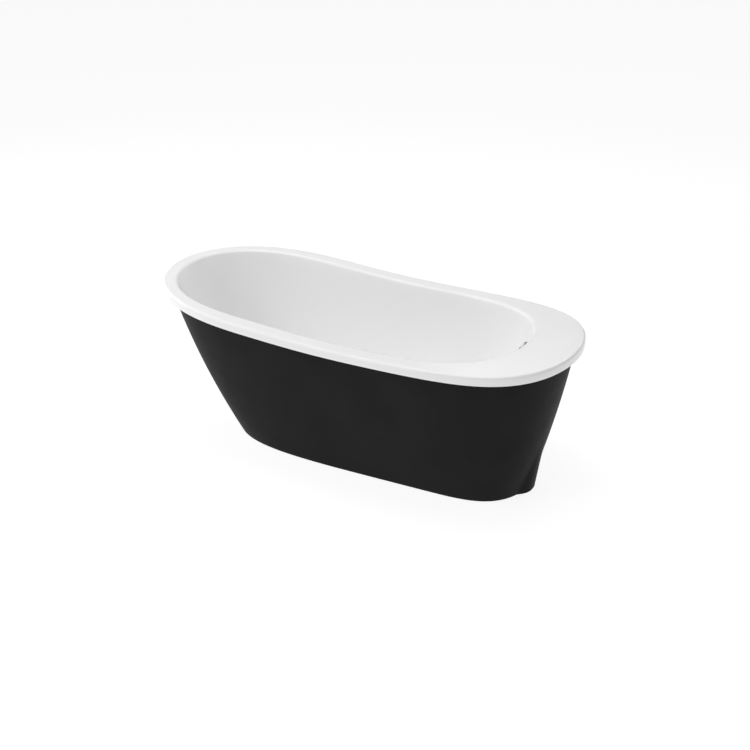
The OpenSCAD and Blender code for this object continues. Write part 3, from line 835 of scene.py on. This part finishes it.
def make_stud(node):
    """Rolled thread above a wrench hexagon, ending in the swivel pin."""
    low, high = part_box(node)
    x, y = centre(node)[:2]
    pin = turned("pin", [(0, low.z), (0.0050, low.z), (0.0050, PAD_TOP + 0.0006), (0, PAD_TOP + 0.0006)],
                 (x, y, 0), 0.0006, 48)
    wrench = hex_body("wrench", (x, y, 0), 0.0095, 0, PAD_TOP + 0.0003, PAD_TOP + 0.0083)
    return gathered(node + "_screw", [pin, wrench, thread(x, y, PAD_TOP + 0.0080, high.z)])


def thread(x, y, z0, z1):
    turns_round = 32
    rows = np.arange(z0, z1 - 1e-9, PITCH / 7)
    rows = np.append(rows, z1)
    a = np.arange(turns_round) / turns_round * 2 * np.pi
    phase = np.mod(rows[None] / PITCH - a[:, None] / (2 * np.pi), 1)
    depth = 0.00095 * np.clip(np.abs(phase - 0.5) * 2.4 - 0.15, 0, 1)
    taper = 0.0012 * np.clip(1 - (z1 - rows) / 0.0018, 0, 1)
    r = STUD_R - depth - taper[None]
    r = np.concatenate([np.zeros((turns_round, 1)), r, np.zeros((turns_round, 1))], 1)
    z = np.concatenate([[z0], rows, [z1]])
    c, s = np.cos(a)[:, None], np.sin(a)[:, None]
    loops = np.stack([x + r * c, y + r * s, z + 0 * r], -1)
    return weld(ring_solid("thread", loops), 60)


def make_pad(node):
    """Moulded swivel pad: treaded rim, dished shoulder and raised socket."""
    x, y = centre(node)[:2]
    pad_r, socket_r, bore = 0.025, 0.010, 0.00505
    profile = [(0, 0), (0.0030, 0), (0.0040, 0.0008), (0.0200, 0.0008), (0.0210, 0), (pad_r - 0.0006, 0),
               (pad_r, 0.0010), (pad_r, 0.0046), (pad_r - 0.0018, 0.0054), (0.0112, 0.0078),
               (socket_r, 0.0090), (socket_r, PAD_TOP), (bore, PAD_TOP), (bore, 0.0040), (0, 0.0040)]
    base = turned("pad", profile, (x, y, 0), 0.0005, 96)
    return gathered(node + "_moulding", [base] + [pad_rib(x, y, k * math.pi / 4) for k in range(8)])


def pad_rib(x, y, turn):
    """Small web between the socket and the pad's rim."""
    half = 0.0008
    side = [(0.0094, 0.0072), (0.0206, 0.0056), (0.0206, 0.0062), (0.0094, 0.0122)]
    points = []
    for t in (-half, half):
        for r, z in side:
            points.append((x + r * math.cos(turn) - t * math.sin(turn),
                           y + r * math.sin(turn) + t * math.cos(turn), z))
    faces = [(0, 1, 2, 3), (7, 6, 5, 4), (0, 4, 5, 1), (1, 5, 6, 2), (2, 6, 7, 3), (3, 7, 4, 0)]
    return weld(new_mesh("rib", points, faces))


def make_foot_nuts(name, z0, z1):
    places = [centre(f"foot_stud_{k}") for k in range(1, 6)]
    return gathered(name, [hex_body("nut", (p.x, p.y, 0), NUT_R, STUD_R + 0.0001, z0, z1) for p in places])


# ---------- waste pipework ----------

TUBE_R = 0.01905
PIPE_R = TUBE_R - 0.0003
SOCKET_R = TUBE_R + 0.0035
NUT_GRIP_R = SOCKET_R + 0.0045
NUT_LONG = 0.016


def grip_nut(place, along):
    """Slip nut: scalloped grip with a plain collar at its closed end."""
    steps = 144
    a = np.arange(steps) / steps * 2 * np.pi + math.pi / 8
    rib = np.clip(np.cos(8 * a) * 1.6 - 0.2, 0, 1)
    rows = np.array([0, 0.0006, 0.0016, 0.0024, 0.0136, 0.0146, 0.0154, NUT_LONG])
    body = np.array([0.0010, 0.0003, 0, 0, 0, 0, 0.0003, 0.0010])
    swell = np.array([0, 0, 0.4, 1, 1, 0.4, 0, 0])
    r = NUT_GRIP_R - 0.0016 - body[None] + 0.0010 * rib[:, None] * swell[None]
    bore = PIPE_R + 0.0006
    inner_r = [SOCKET_R + 0.0005, SOCKET_R + 0.0005, bore, bore]
    inner_z = [NUT_LONG, 0.0070, 0.0070, 0]
    r = np.concatenate([r, np.broadcast_to(inner_r, (steps, 4))], 1)
    z = np.concatenate([rows, inner_z])
    c, s = np.cos(a)[:, None], np.sin(a)[:, None]
    z = z + 0 * r
    local = {"Z": (r * c, r * s, z), "-Z": (r * s, r * c, -z), "X": (z, r * c, r * s),
             "-X": (-z, r * s, r * c)}[along]
    return weld(ring_solid("grip", np.stack(local, -1) + np.array(place, float)), 30)


def make_slip_nuts():
    """One nut at each socket mouth, found from the pipes' own places."""
    tee, shoe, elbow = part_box("waste_tee"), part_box("drain_shoe"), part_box("overflow_elbow")
    riser = centre("riser_pipe").x
    axis_z = centre("waste_pipe").z
    back = 0.010
    mouths = [((shoe[1].x + back, 0, axis_z), "-X"), ((tee[0].x - back, 0, axis_z), "X"),
              ((riser, 0, tee[0].z - back), "Z"), ((riser, 0, tee[1].z + back), "-Z"),
              ((riser, 0, elbow[0].z - back), "Z")]
    return gathered("grip_nuts", [grip_nut(p, way) for p, way in mouths])


def tube(name, node, along, r_out, r_in):
    """Drawn tube with its cut ends deburred."""
    low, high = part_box(node)
    c = centre(node)
    if along == "X":
        place, z0, z1 = (0, c.y, c.z), low.x, high.x
    else:
        place, z0, z1 = (c.x, c.y, 0), low.z, high.z
    profile = [(r_in, z0), (r_out, z0), (r_out, z1), (r_in, z1)]
    return turned(name, profile, place, 0.0004, 96, along)


def make_tail():
    low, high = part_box("tail_pipe")
    c = centre("tail_pipe")
    step = low.z + 0.028
    inner = PIPE_R - 0.0015
    profile = [(inner, low.z), (TUBE_R, low.z), (TUBE_R, step), (PIPE_R, step + 0.0002),
               (PIPE_R, high.z), (inner, high.z)]
    return turned("waste_tail", profile, (c.x, c.y, 0), 0.0004)


# ---------- studio ----------

FLOOR_DIFFUSE = 0.20
FLOOR_GLOW = 0.895
WORLD_LIGHT = 0.25


def pale_floor():
    """Lit sweep: mostly its own pale glow, so that only a faint contact shade shows."""
    mat = bpy.data.materials.new("pale_floor")
    mat.use_nodes = True
    shader = mat.node_tree.nodes["Principled BSDF"]
    shader.inputs["Base Color"].default_value = (FLOOR_DIFFUSE, FLOOR_DIFFUSE, FLOOR_DIFFUSE, 1)
    shader.inputs["Roughness"].default_value = 0.9
    shader.inputs["Specular IOR Level"].default_value = 0.0
    shader.inputs["Emission Color"].default_value = (1, 1, 1, 1)
    shader.inputs["Emission Strength"].default_value = FLOOR_GLOW
    return mat


def studio_world():
    """Soft sky: white where it meets the floor, dimmer overhead."""
    world = bpy.data.worlds.new("studio")
    world.use_nodes = True
    tree = world.node_tree
    place = tree.nodes.new("ShaderNodeTexCoord")
    split = tree.nodes.new("ShaderNodeSeparateXYZ")
    fade = tree.nodes.new("ShaderNodeMapRange")
    fade.inputs["From Min"].default_value = 0.0
    fade.inputs["From Max"].default_value = 0.16
    fade.inputs["To Min"].default_value = 1.0
    fade.inputs["To Max"].default_value = WORLD_LIGHT
    tree.links.new(place.outputs["Generated"], split.inputs["Vector"])
    tree.links.new(split.outputs["Z"], fade.inputs["Value"])
    tree.links.new(fade.outputs["Result"], tree.nodes["Background"].inputs["Strength"])
    tree.nodes["Background"].inputs["Color"].default_value = (1, 1, 1, 1)
    return world


def make_stage():
    reach = 60.0
    corners = [(-reach, -reach, 0), (reach, -reach, 0), (reach, reach, 0), (-reach, reach, 0)]
    floor = new_mesh("floor", corners, [(0, 1, 2, 3)], smooth=False)
    floor.data.materials.append(pale_floor())
    bpy.context.scene.world = studio_world()


def softbox(name, place, aim, size, power):
    light = bpy.data.lights.new(name, "AREA")
    light.shape = "RECTANGLE"
    light.size, light.size_y = size
    light.energy = power
    obj = bpy.data.objects.new(name, light)
    obj.location = place
    obj.rotation_euler = (Vector(aim) - Vector(place)).to_track_quat("-Z", "Y").to_euler()
    bpy.context.collection.objects.link(obj)


def make_lights():
    aim, size = (0, 0, 0.4), (3.0, 2.2)
    softbox("key_box", (-2.2, -3.2, 3.4), aim, size, 54)
    softbox("top_box", (0, 0, 4.4), aim, size, 73)
    softbox("back_box", (0, 3.2, 3.2), aim, size, 23)
    softbox("end_box", (-3.8, 0, 2.4), aim, size, 50)


def make_camera():
    """Front three-quarter view from the drain side, 24 degrees down."""
    azimuth = math.radians(28.51)
    elevation = math.radians(24.32)
    distance = 5.370
    aim = Vector((0, 0, 0.300))
    back = Vector((math.sin(azimuth) * math.cos(elevation),
                   -math.cos(azimuth) * math.cos(elevation),
                   math.sin(elevation)))
    data = bpy.data.cameras.new("camera")
    data.sensor_width = 36.0
    data.lens = 67.25
    data.shift_x = 0.0120
    data.shift_y = 0.0045
    obj = bpy.data.objects.new("camera", data)
    obj.location = aim + back * distance
    obj.rotation_euler = back.to_track_quat("Z", "Y").to_euler()
    bpy.context.collection.objects.link(obj)
    bpy.context.scene.camera = obj


# ---------- assembly ----------


def cut_slot(basin):
    """Opens the overflow slot through the basin wall."""
    loop = pill_loop(SLOT_L + 0.004, SLOT_H + 0.004)
    n = len(loop)
    points = np.concatenate([np.concatenate([np.full((n, 1), x), loop], 1) for x in (-0.03, 0.03)])
    faces = [(i, (i + 1) % n, n + (i + 1) % n, n + i) for i in range(n)]
    faces += [tuple(range(n))[::-1], tuple(range(n, 2 * n))]
    cutter = weld(new_mesh("cutter", to_overflow(points), faces))
    tool = basin.modifiers.new("slot", "BOOLEAN")
    tool.operation = "DIFFERENCE"
    tool.solver = "EXACT"
    tool.object = cutter
    graph = bpy.context.evaluated_depsgraph_get()
    mesh = bpy.data.meshes.new_from_object(basin.evaluated_get(graph))
    basin.modifiers.clear()
    basin.data = mesh
    bpy.data.objects.remove(cutter)
    return basin


def show_shells():
    show(cut_slot(make_basin()), "white_acrylic", "tub", "basin")
    show(make_skirt(), "black_skirt", "tub", "skirt")
    show(make_sealant(), "sealant", "tub", "rim_sealant")
    show(soften("floor_bedding", 0.0008), "laminate", "tub", "floor_bedding")


def show_base():
    show(soften("base_board", 0.0008), "board", "tub", "base_board")
    for node in ("rail_back", "rail_middle", "rail_drain"):
        show(soften(node, 0.0009), "galvanised_steel", "tub", node)
    show(soften("rail_screws", 0.0005), "zinc_plate", "tub", "rail_screws")
    for node in ("foot_weld_nuts", "foot_lock_nuts"):
        low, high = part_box(node)
        show(make_foot_nuts(node + "_set", low.z, high.z), "zinc_plate", "tub", node)
    for k in range(1, 6):
        show(make_stud(f"foot_stud_{k}"), "zinc_plate", f"stud_{k}", f"foot_stud_{k}")
        show(make_pad(f"foot_pad_{k}"), "pad_nylon", f"foot_{k}", f"foot_pad_{k}")


def show_drain():
    show(make_flange(), "chrome", "tub", "drain_flange")
    show(make_cap(), "chrome", "stopper", "stopper_cap")
    show(make_seal(), "black_rubber", "stopper", "stopper_seal")
    show(make_post(), "waste_brass", "stopper", "stopper_post")
    show(soften("flange_washer", 0.0003), "washer_white", "tub", "flange_washer")
    show(soften("drain_gasket", 0.0006), "black_rubber", "tub", "drain_gasket")
    show(soften("drain_shoe", 0.0008), "waste_brass", "tub", "drain_shoe")


def show_pipes():
    inner = PIPE_R - 0.0015
    show(tube("waste_tube", "waste_pipe", "X", PIPE_R, inner), "tube_brass", "tub", "waste_pipe")
    show(tube("riser_tube", "riser_pipe", "Z", PIPE_R, inner), "tube_brass", "tub", "riser_pipe")
    show(make_tail(), "tube_brass", "tub", "tail_pipe")
    show(soften("waste_tee", 0.0008), "waste_brass", "tub", "waste_tee")
    show(make_slip_nuts(), "waste_brass", "tub", "slip_nuts")
    show(soften("slip_washers", 0.0003), "washer_white", "tub", "slip_washers")


def show_overflow():
    show(make_bezel(), "chrome", "tub", "overflow_bezel")
    show(make_overflow_screws(), "chrome", "tub", "overflow_screws")
    show(soften("overflow_gasket", 0.0004), "black_rubber", "tub", "overflow_gasket")
    show(soften("overflow_elbow", 0.0008), "waste_brass", "tub", "overflow_elbow")


bpy.context.scene.view_settings.view_transform = "Standard"
FINISH = all_materials()
make_stage()
make_lights()
make_camera()
show_shells()
show_base()
show_drain()
show_pipes()
show_overflow()
